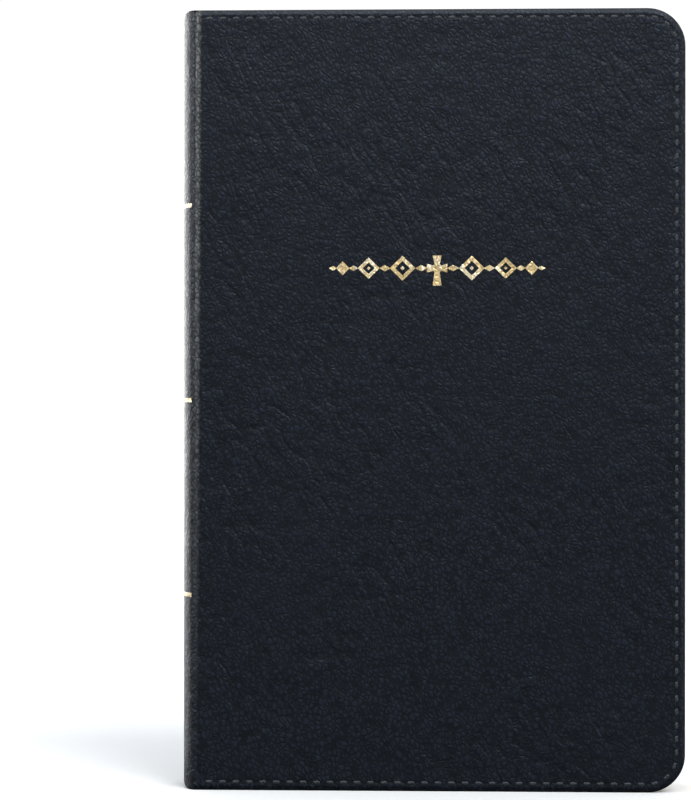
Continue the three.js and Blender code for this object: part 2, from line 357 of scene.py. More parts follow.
def leather_grain(shader):
    """How light the grain is painted, dark in its grooves as painted shade and light on its pebbles, and
    its height with longer creases added.
    """
    place = shader.place()
    turned = shader.place(turn=(0.0, math.radians(PEBBLE_DEGREES), 0.0))
    slanted = shader.stretched(turned, (1.0, 1.0, PEBBLE_STRETCH))
    cells = shader.cells(swirl(shader, slanted, 500.0, 0.0011), PEBBLE_SCALE)
    pebble = shader.span(cells, GROOVE_END, PEBBLE_START, smooth=True)
    mottle = shader.span(shader.noise(place, MOTTLE_SCALE, 2.0, 0.35), 0.34, 0.66)
    slant = creases(shader, **SLANT_CREASES)
    level = creases(shader, **LEVEL_CREASES)
    slant_patch = shader.span(shader.noise(place, 34.0, 2.0), 0.42, 0.60, smooth=True)
    broad = shader.noise(shader.place(scale=(1.3, 1, 0.8)), 27.0, 1.0)
    level_patch = shader.span(broad, 0.5, 0.64, smooth=True)
    slant = shader.math("MULTIPLY", shader.math("SUBTRACT", slant, 1.0), slant_patch)
    level = shader.math("MULTIPLY", shader.math("SUBTRACT", level, 1.0), level_patch)
    light = shader.blend_of(pebble, 0.76, mottle, 0.24)
    fine = shader.blend_of(pebble, 0.46, mottle, 0.54)
    folds = shader.blend_of(slant, 0.80, level, 0.20)
    return light, shader.math("ADD", fine, folds)


def painted_highlight_mask(shader):
    """1 along the shoulder beside the hinge line, where a highlight is painted, fading to the tail."""
    axes = shader.node("SeparateXYZ", {"Vector": shader.place()}).outputs
    height = shader.math("DIVIDE", axes["Z"], HEIGHT)
    past = shader.math("SUBTRACT", axes["X"], HINGE_X + RIDGE_AT_TAIL)
    past = shader.math("SUBTRACT", past, shader.math("MULTIPLY", height, RIDGE_LEAN))
    near = shader.span(shader.math("ABSOLUTE", past), RIDGE_CORE, RIDGE_EDGE, 1.0, 0.0, smooth=True)
    return shader.math("MULTIPLY", near, shader.span(height, 0.10, 0.95))


def make_leather():
    shader = Shader("cover_leather")
    light, height = leather_grain(shader)
    broad = shader.noise(shader.place(), 22.0, 3.0)
    # Painted shade in the grain's grooves, lighter on the pebbles.
    tone = shader.mix(shader.span(light, 0.10, 0.90), GROOVE_PAINTED_SHADE, PEBBLE_TONE)
    # Painted shade in the creases, where the folded height is low.
    tone = shader.mix(shader.span(height, -0.45, 0.1, 0.6, 0.0), tone, CREASE_PAINTED_SHADE)
    tone = shader.mix(shader.span(broad, 0.35, 0.7, 0.0, 0.3), tone, CLOUD_TONE)
    highlight_share = shader.math("MULTIPLY", painted_highlight_mask(shader), shader.span(light, 0.15, 0.80, 0.25, 1.0))
    # Painted highlight along the ridge, strongest on the pebbles and towards the head.
    tone = shader.mix(highlight_share, tone, PAINTED_RIDGE_HIGHLIGHT)
    rough = shader.span(light, 0.10, 0.90, 0.50, 0.36)
    slow = shader.noise(shader.place(scale=(1, 1, 0.6)), 60.0, 2.0)
    normal = shader.bump(slow, 0.0010, 0.4)
    normal = shader.bump(height, GRAIN_DEPTH, 1.0, normal)
    return shader.finish(Base_Color=tone, Roughness=rough, Normal=normal, Specular_IOR_Level=0.23,
                         Specular_Tint=rgb(0.78, 0.88, 1.0))


def make_thread():
    shader = Shader("stitch_thread")
    twist = shader.noise(shader.place(), 2600.0, 2.0)
    tone = shader.mix(shader.span(twist, 0.3, 0.7), rgb(0.008, 0.011, 0.015), rgb(0.027, 0.032, 0.039))
    normal = shader.bump(twist, 0.00006, 0.6)
    return shader.finish(Base_Color=tone, Roughness=0.55, Normal=normal, Specular_IOR_Level=0.33)


def make_foil():
    shader = Shader("gold_foil")
    _, height = leather_grain(shader)
    speck = shader.noise(shader.place(), 2300.0, 2.0, 0.7)
    worn = shader.span(speck, 0.55, 0.66, smooth=True)
    # Painted highlight and shade: the foil is painted near white on the raised grain and darker gold in its
    # hollows.
    gold = shader.mix(shader.span(height, 0.1, 0.75), rgb(0.62, 0.47, 0.23), rgb(1.0, 0.92, 0.70))
    tone = shader.mix(shader.math("MULTIPLY", worn, 0.7), gold, rgb(0.13, 0.09, 0.045))
    rough = shader.span(speck, 0.3, 0.7, 0.30, 0.52)
    normal = shader.bump(height, 0.00022, 0.9)
    return shader.finish(Base_Color=tone, Roughness=rough, Metallic=0.55, Normal=normal)


def make_paper(name, light, dark, own_mesh=True):
    shader = Shader(name)
    fibre = shader.noise(shader.place(own_mesh=own_mesh), 900.0, 4.0)
    cloud = shader.noise(shader.place(own_mesh=own_mesh), 45.0, 3.0)
    tone = shader.mix(shader.span(cloud, 0.3, 0.7), dark, light)
    normal = shader.bump(fibre, 0.00003, 0.5)
    rough = shader.span(fibre, 0.3, 0.7, 0.74, 0.9)
    return shader.finish(Base_Color=tone, Roughness=rough, Normal=normal, Specular_IOR_Level=0.25)


def make_gilt_edge():
    """Gilt page edges: fine lines run along every leaf, with a little paper showing between them."""
    shader = Shader("gilt_page_edge")
    leaves = shader.place(scale=(0.012, 1.0, 0.012))
    line = shader.noise(leaves, 9000.0, 2.0, 0.7)
    band = shader.noise(leaves, 1600.0, 2.0, 0.6)
    rub = shader.noise(shader.place(), 90.0, 4.0, 0.65)
    gold = shader.mix(line, rgb(0.40, 0.27, 0.10), rgb(0.86, 0.68, 0.36))
    gold = shader.mix(shader.span(band, 0.35, 0.65, 0.0, 0.5), gold, rgb(0.62, 0.46, 0.20))
    bare = shader.span(shader.math("MULTIPLY", rub, line), 0.33, 0.42, 0.0, 0.5, smooth=True)
    tone = shader.mix(bare, gold, rgb(0.80, 0.72, 0.55))
    rough = shader.span(line, 0.3, 0.7, 0.30, 0.48)
    normal = shader.bump(shader.math("ADD", line, band), 0.00006, 0.7)
    metal = shader.span(bare, 0.0, 0.5, 0.85, 0.3)
    return shader.finish(Base_Color=tone, Roughness=rough, Metallic=metal, Normal=normal)


def wave(shader, along, pitch):
    """A sine along one axis, with one cycle per pitch."""
    return shader.math("SINE", shader.math("MULTIPLY", along, 2 * math.pi / pitch))


BAND_STRIPE = 2.0 * MM
BAND_THREAD = 0.25 * MM
RIBBON_WEFT = 0.22 * MM
MULL_PITCH = 0.8 * MM


def make_head_band():
    """Silk head band: threads wound round a core in stripes of two colours."""
    shader = Shader("head_band_silk")
    across = shader.node("SeparateXYZ", {"Vector": shader.place()}).outputs["Y"]
    stripe = wave(shader, across, BAND_STRIPE)
    thread = wave(shader, across, BAND_THREAD)
    tone = shader.mix(shader.span(stripe, -0.25, 0.25), rgb(0.020, 0.026, 0.045), rgb(0.70, 0.58, 0.30))
    normal = shader.bump(thread, 0.00005, 0.8)
    return shader.finish(Base_Color=tone, Roughness=0.42, Normal=normal, Sheen_Weight=0.3)


def make_satin():
    shader = Shader("ribbon_satin")
    warp = shader.noise(shader.place(scale=(1.0, 1.0, 0.02)), 9000.0, 1.0)
    down = shader.node("SeparateXYZ", {"Vector": shader.place()}).outputs["Z"]
    weft = wave(shader, down, RIBBON_WEFT)
    tone = shader.mix(warp, rgb(0.010, 0.016, 0.045), rgb(0.030, 0.045, 0.105))
    normal = shader.bump(shader.math("ADD", warp, shader.math("MULTIPLY", weft, 0.3)), 0.00003, 0.6)
    return shader.finish(Base_Color=tone, Roughness=0.33, Normal=normal, Sheen_Weight=0.25)


def make_mull():
    """Open-weave starched cotton, as two sets of threads."""
    shader = Shader("mull_weave")
    axes = shader.node("SeparateXYZ", {"Vector": shader.place(own_mesh=False)})
    along = wave(shader, axes.outputs["Z"], MULL_PITCH)
    over = wave(shader, axes.outputs["Y"], MULL_PITCH)
    weave = shader.math("MAXIMUM", along, over)
    tone = shader.mix(shader.span(weave, -0.2, 0.8), rgb(0.30, 0.24, 0.15), rgb(0.74, 0.69, 0.57))
    normal = shader.bump(weave, 0.0001, 0.8)
    return shader.finish(Base_Color=tone, Roughness=0.92, Normal=normal)


LEATHER = make_leather()
THREAD = make_thread()
FOIL = make_foil()
PAGE = make_paper("page_paper", rgb(0.86, 0.82, 0.71), rgb(0.80, 0.75, 0.63))
GILT = make_gilt_edge()
ENDPAPER = make_paper("endpaper", rgb(0.020, 0.023, 0.030), rgb(0.012, 0.014, 0.020))
BOARD = make_paper("binder_board", rgb(0.36, 0.32, 0.26), rgb(0.24, 0.21, 0.17), own_mesh=False)
LINING = make_paper("kraft_lining", rgb(0.40, 0.29, 0.18), rgb(0.30, 0.21, 0.13), own_mesh=False)
HEAD_BAND = make_head_band()
SATIN = make_satin()
MULL = make_mull()


# ---- Covers ----------------------------------------------------------------------------------------
EDGE_PROFILE = (                       # the turned edge, as inset and fall in millimetres
    (1.38, 0.00), (1.28, 0.015), (1.15, 0.06), (0.95, 0.16), (0.72, 0.29), (0.50, 0.43), (0.32, 0.56),
    (0.17, 0.70), (0.06, 0.86), (0.00, 1.03),
)
STITCH_DIP_AT = (4.6, 3.9, 3.5, 3.2, 2.95, 2.7, 2.4, 2.1, 1.85, 1.6)    # insets, in millimetres
STITCH_DIP = 0.06 * MM                 # how deep the thread pulls the leather down
STITCH_DIP_WIDTH = 0.45 * MM


def shoulder_fall(x, z):
    """How far the leather lies below the flat of the cover, close to the hinge line."""
    rise = z / HEIGHT
    wider = 1 + (SHOULDER_STRETCH - 1) * rise
    past = max(0.0, ((x - HINGE_X) / MM - SHOULDER_LEAN * rise) / wider)
    for (x0, fall0), (x1, fall1) in zip(SHOULDER, SHOULDER[1:]):
        if past <= x1:
            share = (past - x0) / (x1 - x0)
            return (fall0 + (fall1 - fall0) * share) * MM
    return 0.0


def cover_levels(side):
    """The covers' edge, from the outer face round to the turned-in flap and the pocket of the board."""
    inner, _ = depth_range(f"{side}_cover_leather")
    board_inner, board_outer = depth_range(f"{side}_cover_board")
    margin = 9 * MM
    hem = 0.35 * MM
    levels = [(margin, SKIN)]
    for step in STITCH_DIP_AT:
        inset = step * MM
        dip = STITCH_DIP * math.exp(-(((inset - STITCH_INSET) / STITCH_DIP_WIDTH) ** 2))
        levels.append((inset, SKIN - dip))
    for inset, fall in EDGE_PROFILE:
        levels.append((inset * MM, SKIN - fall * MM))
    for degrees in (0, 45, 90):
        turn = math.radians(degrees)
        levels.append((hem * (1 - math.cos(turn)), inner + hem * (1 - math.sin(turn))))
    flap = 8 * MM
    pocket = 1.3 * MM
    clear = 0.015 * MM
    levels += [(2 * MM, inner), (flap, inner), (flap, board_inner - clear), (pocket, board_inner - clear)]
    levels += [(pocket, board_outer + clear), (margin, board_outer + clear)]
    return levels


def shape_cover(points):
    """Adds the shoulder and the groove beside the hinge line to the outer face of a cover."""
    middle = 11.3 * MM
    return [(x, depth - (shoulder_fall(x, z) if depth > middle else 0.0), z) for x, depth, z in points]


def make_cover(side):
    corner_x = FORE_EDGE - CORNER_RADIUS
    xs = spread(HINGE_X, corner_x, 0.15 * MM, 1.12, 4 * MM)
    zs = steps(CORNER_RADIUS, HEIGHT - CORNER_RADIUS, 48)
    points, faces, _ = panel(cover_levels(side), xs, zs, FORE_EDGE, 0.0, HEIGHT, CORNER_RADIUS, 14)
    piece = new_piece(f"{side}_cover_skin", in_half(side, shape_cover(points)), faces, [LEATHER])
    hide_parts(f"{side}_cover_leather")
    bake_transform(piece)


FIRST_STITCH = 2.4 * MM                # from the hinge line
STITCH_HALF_LENGTH = 1.05 * MM
THREAD_RADIUS, THREAD_TAPER = 0.46 * MM, 0.16 * MM
THREAD_FLATNESS = 0.50


def stitch_path():
    """Places of the stitches, as (x, z, direction), evenly spaced round head, fore-edge and tail."""
    start = HINGE_X + FIRST_STITCH
    corner_x = FORE_EDGE - CORNER_RADIUS
    radius = CORNER_RADIUS - STITCH_INSET
    straight = corner_x - start
    arc = radius * math.pi / 2
    side_length = HEIGHT - 2 * CORNER_RADIUS
    total = 2 * straight + 2 * arc + side_length
    count = int(total / STITCH_PITCH)
    found = []
    for i in range(count):
        s = (i + 0.5) * total / count
        if s < straight:
            found.append((start + s, HEIGHT - STITCH_INSET, 0.0))
        elif s < straight + arc:
            turn = (s - straight) / radius
            found.append((corner_x + radius * math.sin(turn),
                          HEIGHT - CORNER_RADIUS + radius * math.cos(turn), -turn))
        elif s < straight + arc + side_length:
            found.append((FORE_EDGE - STITCH_INSET,
                          HEIGHT - CORNER_RADIUS - (s - straight - arc), -math.pi / 2))
        elif s < total - straight:
            turn = (s - straight - arc - side_length) / radius
            found.append((corner_x + radius * math.cos(turn),
                          CORNER_RADIUS - radius * math.sin(turn), -math.pi / 2 - turn))
        else:
            found.append((corner_x - (s - total + straight), STITCH_INSET, -math.pi))
    return found


def make_stitches(side):
    """Each stitch is a short length of two-ply thread that dives into the leather at both ends."""
    rings, sides = 11, 10
    points, faces = [], []
    draw = random.Random(11)
    for x, z, heading in stitch_path():
        heading += draw.uniform(-0.05, 0.05)
        along = (math.cos(heading), math.sin(heading))
        across = (-along[1], along[0])
        first = len(points)
        lift = draw.uniform(-0.02, 0.02) * MM
        for r in range(rings):
            share = 2 * r / (rings - 1) - 1
            rise = (0.02 - 0.30 * abs(share) ** 5) * MM + lift
            thick = THREAD_RADIUS - THREAD_TAPER * abs(share) ** 6
            for k in range(sides):
                angle = 2 * math.pi * k / sides
                ply = 1 + 0.14 * math.cos(2 * (angle - 3.2 * share))
                wide = thick * ply * math.cos(angle)
                tall = THREAD_FLATNESS * thick * ply * math.sin(angle)
                s = share * STITCH_HALF_LENGTH
                points.append((
                    x + along[0] * s + across[0] * wide,
                    SKIN - 0.10 * MM + rise + tall,
                    z + along[1] * s + across[1] * wide,
                ))
        for r in range(rings - 1):
            for k in range(sides):
                a = first + r * sides + k
                b = first + r * sides + (k + 1) % sides
                faces.append((a, b, b + sides, a + sides))
        faces.append(tuple(first + k for k in range(sides)))
        faces.append(tuple(first + (rings - 1) * sides + k for k in range(sides)))
    piece = new_piece(f"{side}_stitches", in_half(side, points), faces, [THREAD], sharp_degrees=60)
    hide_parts(f"{side}_cover_stitching")
    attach(piece, f"{side}_cover")


# ---- Foil ------------------------------------------------------------------------------------------
FOIL_LIFT = 0.03 * MM
FOIL_CHAMFER = 0.06 * MM
FOIL_ROOT = -0.12 * MM                 # how far the foil's plates reach into the leather
CROSS_SIZE = 8.4 * MM
CROSS_CENTRE = 0.58                    # the share of its height that the cross has below its centre
CHAIN = (                              # in mm: distance from the cross, half width, half height, open share
    (4.4, 1.8, 0.9, 0.0),
    (9.6, 3.6, 3.5, 0.56),
    (14.5, 1.6, 0.9, 0.0),
    (19.0, 3.1, 3.0, 0.52),
    (23.2, 1.4, 0.8, 0.0),
    (26.2, 1.9, 2.0, 0.0),
    (28.9, 1.2, 0.7, 0.0),
)


def lozenge(x, half_width, half_height):
    return [(x - half_width, 0), (x, -half_height), (x + half_width, 0), (x, half_height)]


def cross_outline(size):
    """A Latin cross with flared arms, as one outline round its centre."""
    waist = 0.09 * size
    flare = 0.15 * size
    arms = ((0.34, 0), (0.42, 90), (0.34, 180), (CROSS_CENTRE, 270))
    outline = []
    for length, degrees in arms:
        turn = math.radians(degrees)
        knee = waist * 1.5
        for u, v in ((knee, -waist), (length * size, -flare), (length * size, flare), (knee, waist)):
            outline.append((u * math.cos(turn) - v * math.sin(turn),
                            u * math.sin(turn) + v * math.cos(turn)))
    return outline


def shrink(outline, amount):
    """The outline drawn in by amount, corner by corner; it runs anticlockwise."""
    drawn = []
    count = len(outline)
    for i in range(count):
        before = Vector(outline[i - 1])
        here = Vector(outline[i])
        after = Vector(outline[(i + 1) % count])
        one = (here - before).normalized()
        two = (after - here).normalized()
        left_one = Vector((-one.y, one.x))
        left_two = Vector((-two.y, two.x))
        half = left_one + left_two
        drawn.append(tuple(here + half * (amount / max(0.2, 0.5 * half.length_squared))))
    return drawn


def add_foil(points, faces, outline, hole=None):
    """A chamfered plate of foil, whole or with an open middle, as points of (u, v, lift)."""
    stack = [
        (outline, FOIL_ROOT),
        (outline, FOIL_LIFT - FOIL_CHAMFER),
        (shrink(outline, FOIL_CHAMFER), FOIL_LIFT),
    ]
    if hole is not None:
        stack += [
            (shrink(hole, -FOIL_CHAMFER), FOIL_LIFT),
            (hole, FOIL_LIFT - FOIL_CHAMFER),
            (hole, FOIL_ROOT),
        ]
    first, count = len(points), len(outline)
    for loop, lift in stack:
        points += [(u, v, lift) for u, v in loop]
    for level in range(len(stack) - (0 if hole is not None else 1)):
        below = first + level * count
        above = first + (level + 1) % len(stack) * count
        for i in range(count):
            j = (i + 1) % count
            faces.append((below + i, below + j, above + j, above + i))
    if hole is None:
        faces.append(tuple(first + i for i in range(count)))
        faces.append(tuple(first + (len(stack) - 1) * count + i for i in range(count)))


def make_cover_ornament(side):
    low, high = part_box(f"{side}_foil_ornament")
    centre_x = 0.5 * (low.x + high.x)
    centre_z = low.z + CROSS_CENTRE * CROSS_SIZE
    points, faces = [], []
    add_foil(points, faces, cross_outline(CROSS_SIZE))
    for direction in (-1, 1):
        for x, half_width, half_height, opening in CHAIN:
            outline = lozenge(direction * x * MM, half_width * MM, half_height * MM)
            hole = None
            if opening:
                hole = lozenge(direction * x * MM, opening * half_width * MM, opening * half_height * MM)
                seed = lozenge(direction * x * MM, 0.18 * half_width * MM, 0.18 * half_height * MM)
                add_foil(points, faces, seed)
            add_foil(points, faces, outline, hole)
    placed = [(centre_x + u, SKIN + lift, centre_z + v) for u, v, lift in points]
    piece = new_piece(f"{side}_cover_ornament", in_half(side, placed), faces, [FOIL], sharp_degrees=20)
    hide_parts(f"{side}_foil_ornament")
    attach(piece, f"{side}_cover")


# ---- Spine -----------------------------------------------------------------------------------------
SPINE_LEATHER = 0.9 * MM
HEAD_CAP_DROP = 2.0 * MM               # how far the spine's ends fall short of the covers' at its middle
SPINE_OUTLINE = (                      # half of the spine's outer outline, as x past the apex and depth
    (0.00, 0.00), (0.05, 1.6), (0.19, 3.2), (0.45, 4.8), (0.82, 6.4), (1.30, 7.9), (1.80, 9.1),
    (2.20, 9.88), (2.60, 10.50), (3.00, 10.95), (3.40, 11.26), (3.80, 11.48),
)


def smooth_line(knots, per_span):
    """A Catmull-Rom line through the knots."""
    line = []
    for i in range(len(knots) - 1):
        a = Vector(knots[max(i - 1, 0)])
        b, c = Vector(knots[i]), Vector(knots[i + 1])
        d = Vector(knots[min(i + 2, len(knots) - 1)])
        if i == 0:
            a = Vector((c.x, -c.y))
        for k in range(per_span):
            t = k / per_span
            line.append(0.5 * (2 * b + (c - a) * t + (2 * a - 5 * b + 4 * c - d) * t * t
                               + (3 * b - a - 3 * c + d) * t ** 3))
    return line + [Vector(knots[-1])]


def spine_stations():
    """(place, outward normal) along half of the spine's outline, as (x, depth) vectors."""
    knots = [(SPINE_APEX + x * MM, depth * MM) for x, depth in SPINE_OUTLINE]
    line = smooth_line(knots, 5)
    stations = []
    for i, place in enumerate(line):
        ahead = line[min(i + 1, len(line) - 1)] - line[max(i - 1, 0)]
        if i == 0:
            ahead = Vector((0, 1))
        ahead.normalize()
        stations.append((place, Vector((-ahead.y, ahead.x))))
    return stations


def head_cap(x):
    """How far the spine's ends are drawn in at x: a quarter circle towards the spine's middle."""
    share = min(1.0, max(0.0, (SPINE_APEX + HEAD_CAP_DROP - x) / HEAD_CAP_DROP))
    return HEAD_CAP_DROP * (1 - math.sqrt(1 - share * share))


def sweep_on_spine(stations, ring_at):
    """Joins rings of (offset, z) points along the stations into a closed body."""
    points, faces = [], []
    for place, normal in stations:
        for offset, z in ring_at(place.x):
            spot = place + normal * offset
            points.append((spot.x, max(spot.y, 0.0), z))
    count = len(ring_at(stations[0][0].x))
    for s in range(len(stations) - 1):
        for k in range(count):
            a = s * count + k
            b = s * count + (k + 1) % count
            faces.append((a, b, b + count, a + count))
    faces.append(tuple(range(count)))
    faces.append(tuple((len(stations) - 1) * count + k for k in range(count)))
    return points, faces


def leather_ring(x):
    """The spine leather's section at x: outer face, rolled head, inner face and rolled tail."""
    drop = head_cap(x)
    radius = SPINE_LEATHER / 2
    low, high = drop + radius, HEIGHT - drop - radius
    ring = [(0.0, z) for z in steps(low, high, 40)]
    for degrees in (22, 45, 67, 90, 113, 135, 158):
        turn = math.radians(degrees)
        ring.append((-radius + radius * math.cos(turn), high + radius * math.sin(turn)))
    ring += [(-SPINE_LEATHER, z) for z in steps(high, low, 40)]
    for degrees in (202, 225, 247, 270, 293, 315, 338):
        turn = math.radians(degrees)
        ring.append((-radius + radius * math.cos(turn), low + radius * math.sin(turn)))
    return ring


def bend_with_spine(piece):
    """Bakes the piece's place into its points."""
    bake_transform(piece)


def make_spine_skin(side):
    points, faces = sweep_on_spine(spine_stations(), leather_ring)
    piece = new_piece(f"spine_skin_{side}", in_half(side, points), faces, [LEATHER], sharp_degrees=50)
    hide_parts("spine_leather")
    bend_with_spine(piece)


def make_spine_rule(side, node):
    low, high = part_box(node)

    def ring(_):
        c = FOIL_CHAMFER
        return [(FOIL_LIFT, low.z + c), (FOIL_LIFT, high.z - c), (FOIL_LIFT - c, high.z),
                (FOIL_ROOT, high.z), (FOIL_ROOT, low.z), (FOIL_LIFT - c, low.z)]

    width = high.y
    stations = [s for s in spine_stations() if s[0].y <= width]
    points, faces = sweep_on_spine(stations, ring)
    piece = new_piece(f"{node}_{side}", in_half(side, points), faces, [FOIL])
    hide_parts(node)
    bend_with_spine(piece)


def make_spine_ornament():
    """A small cross, bent over the middle of the spine."""
    low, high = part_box("spine_ornament")
    size = high.z - low.z
    centre_z = low.z + CROSS_CENTRE * size
    points, faces = [], []
    add_foil(points, faces, cross_outline(size))
    stations = spine_stations()
    placed = []
    for u, v, lift in points:
        place, normal = min(stations, key=lambda s: abs(s[0].y - abs(u)))
        placed.append((place.x + normal.x * lift, u, centre_z + v))
    piece = new_piece("spine_cross", placed, faces, [FOIL], sharp_degrees=20)
    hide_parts("spine_ornament")
    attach(piece, "spine")


def make_band(node, piece_name):
    """A head or tail band: a bead of wound silk along the block's rounded back."""
    low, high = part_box(node)
    half_width = high.y
    bow = 1.75 * MM
    radius = 0.5 * (high.z - low.z)
    centre_z = 0.5 * (low.z + high.z)
    sides, count = 14, 150
    points, faces = [], []
    for i, y in enumerate(steps(-half_width, half_width, count)):
        x = low.x + radius + bow * (y / half_width) ** 2
        ridge = 1 + 0.05 * math.cos(2 * math.pi * y / BAND_THREAD)
        taper = math.sqrt(max(0.05, 1 - (abs(y) / half_width) ** 16))
        for k in range(sides):
            angle = 2 * math.pi * k / sides
            reach = radius * ridge * taper
            across, up = 0.85 * reach * math.cos(angle), 0.98 * reach * math.sin(angle)
            points.append((x + across, y, centre_z + up))
        if i:
            for k in range(sides):
                a = (i - 1) * sides + k
                b = (i - 1) * sides + (k + 1) % sides
                faces.append((a, b, b + sides, a + sides))
    faces.append(tuple(range(sides)))
    faces.append(tuple(count * sides + k for k in range(sides)))
    piece = new_piece(piece_name, points, faces, [HEAD_BAND], sharp_degrees=60)
    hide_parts(node)
    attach(piece, "spine")


# ---- Leaves ----------------------------------------------------------------------------------------
RIBBON_SLANT = 6 * MM                  # how much shorter one edge of the ribbon is than the other


def leaf_mesh(node, edge):
    """A leaf or gathering with its outline and place from the CAD node, and with softened edges."""
    low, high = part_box(node)
    inner, outer = depth_range(node)
    corner_x = high.x - PAGE_RADIUS
    xs = spread(low.x, low.x + 26 * MM, 1.0 * MM, 1.0, 1.0 * MM)
    xs += spread(xs[-1], corner_x, 4 * MM, 1.3, 16 * MM)[1:]
    zs = steps(low.z + PAGE_RADIUS, high.z - PAGE_RADIUS, 10)
    levels = sheet_levels(outer, inner, edge, 5 * MM)
    return panel(levels, xs, zs, high.x, low.z, high.z, PAGE_RADIUS, 8), len(levels)


def gilt_slots(kinds, count):
    """The second material for the faces of a leaf's edges, and the first for the rest."""
    return [1 if 1 <= kind <= count - 3 else 0 for kind in kinds]


def make_gathering(side, number):
    """One gathering: paper faces and gilt edges."""
    node = f"{side}_section_{number:02d}"
    (points, faces, kinds), count = leaf_mesh(node, 0.12 * MM)
    slots = gilt_slots(kinds, count)
    piece = new_piece(f"{side}_gathering_{number:02d}", in_half(side, points), faces, [PAGE, GILT], slots)
    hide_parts(node)
    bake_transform(piece)


def make_centre_leaf(side):
    node = f"{side}_centre_leaf"
    (points, faces, kinds), count = leaf_mesh(node, 0.05 * MM)
    slots = gilt_slots(kinds, count)
    piece = new_piece(f"{side}_middle_leaf", in_half(side, points), faces, [PAGE, GILT], slots)
    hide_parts(node)
    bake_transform(piece)


def make_flyleaf(side):
    node = f"{side}_flyleaf"
    (points, faces, _), _ = leaf_mesh(node, 0.05 * MM)
    piece = new_piece(f"{side}_free_endpaper", in_half(side, points), faces, [ENDPAPER])
    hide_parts(node)
    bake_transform(piece)


def make_pastedown(side):
    """The glued half of the endpaper, from just past the hinge line."""
    node = f"{side}_pastedown"
    low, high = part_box(node)
    inner, outer = depth_range(node)
    radius = CORNER_RADIUS - (FORE_EDGE - high.x)
    xs = spread(HINGE_X + 0.6 * MM, high.x - radius, 0.25 * MM, 1.15, 12 * MM)
    zs = steps(low.z + radius, high.z - radius, 10)
    levels = sheet_levels(outer, inner, 0.06 * MM, 5 * MM)
    points, faces, _ = panel(levels, xs, zs, high.x, low.z, high.z, radius, 8)
    piece = new_piece(f"{side}_glued_endpaper", in_half(side, points), faces, [ENDPAPER])
    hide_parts(node)
    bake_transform(piece)


def make_ribbon():
    """The ribbon marker: a flat satin strip with a slanted, heat-cut end."""
    low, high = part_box("ribbon_marker")
    thick = 0.5 * (high.y - low.y)
    columns, rows = 10, 120
    points, faces = [], []
    for face in (-1, 1):
        for x_share in steps(0, 1, columns):
            for z_share in steps(0, 1, rows):
                x = low.x + (high.x - low.x) * x_share
                bottom = low.z + RIBBON_SLANT * x_share
                z = bottom + (high.z - bottom) * z_share
                selvedge = 1.0 if min(x_share, 1 - x_share) < 0.09 else 0.6
                points.append((x, face * thick * selvedge, z))
    row = rows + 1
    sheet = (columns + 1) * row
    for i in range(columns):
        for j in range(rows):
            a = i * row + j
            faces.append((a, a + 1, a + row + 1, a + row))
            b = sheet + a
            faces.append((b, b + row, b + row + 1, b + 1))
    for i in range(columns):
        a = i * row
        faces.append((a, a + row, sheet + a + row, sheet + a))
        b = a + rows
        faces.append((b, sheet + b, sheet + b + row, b + row))
    for j in range(rows):
        faces.append((j, sheet + j, sheet + j + 1, j + 1))
        c = columns * row + j
        faces.append((c, c + 1, sheet + c + 1, sheet + c))
    piece = new_piece("ribbon", points, faces, [SATIN], sharp_degrees=60)
    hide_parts("ribbon_marker")
    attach(piece, "ribbon")


# ---- The book --------------------------------------------------------------------------------------
for side in SIDES:
    make_cover(side)
    make_stitches(side)
    make_pastedown(side)
    make_flyleaf(side)
    make_spine_skin(side)
    for rule in ("spine_rule_lower", "spine_rule_middle", "spine_rule_upper"):
        make_spine_rule(side, rule)
    for number in range(1, 11):
        make_gathering(side, number)
    make_centre_leaf(side)
make_cover_ornament("front")
make_spine_ornament()
make_band("head_band", "head_band_silk")
make_band("tail_band", "tail_band_silk")
make_ribbon()

CAD_MATERIALS = {
    "front_cover_board": BOARD,
    "back_cover_board": BOARD,
    "spine_inlay": BOARD,
    "spine_lining": LINING,
    "mull_cloth": MULL,
}
for node, material in CAD_MATERIALS.items():
    piece = frame["nodes"][node]
    piece.data.materials.clear()
    piece.data.materials.append(material)


# ---- Floor, light and camera -----------------------------------------------------------------------
DOME_LOW, DOME_HIGH = 0.08, 1.40       # the dome's strength near the horizon and overhead
DOME_START, DOME_END = 0.30, 0.85      # and the heights, as sines, between which it changes
DOME_TONE = rgb(0.95, 0.975, 1.0)
BACKDROP_STRENGTH = 1.05
FLOOR_REACH = 6.0
GLOSS_FADE = 0.12                      # how far behind the book's middle the floor is bright in the gloss
FRONT_GLOSS_TONE = rgb(0.10, 0.105, 0.11)
REAR_GLOSS_TONE = rgb(0.80, 0.81, 0.82)
KEY_PLACE = (0.45, -0.70, 0.90)        # only its direction counts
KEY_DEGREES = 26
KEY_STRENGTH = 1.40
SOFTBOXES = (                          # name, place, target, width, height, watts, lights the gloss only
    ("front_fill", (0.10, -0.80, 0.58), (0, 0, 0.20), 0.6, 0.25, 2.45, False),
    ("top_card", (0.0, -0.45, 0.95), (0, 0, 0.21), 0.8, 0.6, 5.4, True),
    ("left_card", (-1.0, -0.36, 0.46), (-0.06, 0, 0.20), 0.5, 0.4, 10.0, True),
    ("left_wall", (-1.0, 0.75, 0.36), (-0.06, 0, 0.12), 0.9, 0.8, 6.5, True),
    ("back_card", (-0.42, 0.95, 0.30), (-0.07, 0, 0.12), 0.45, 0.6, 4.4, True),
    ("right_card", (1.0, -0.50, 0.30), (0.07, 0, 0.12), 0.4, 0.5, 3.0, True),
    ("rear_card", (0.70, 0.85, 0.45), (0, 0, 0.12), 0.6, 0.6, 6.0, True),
)


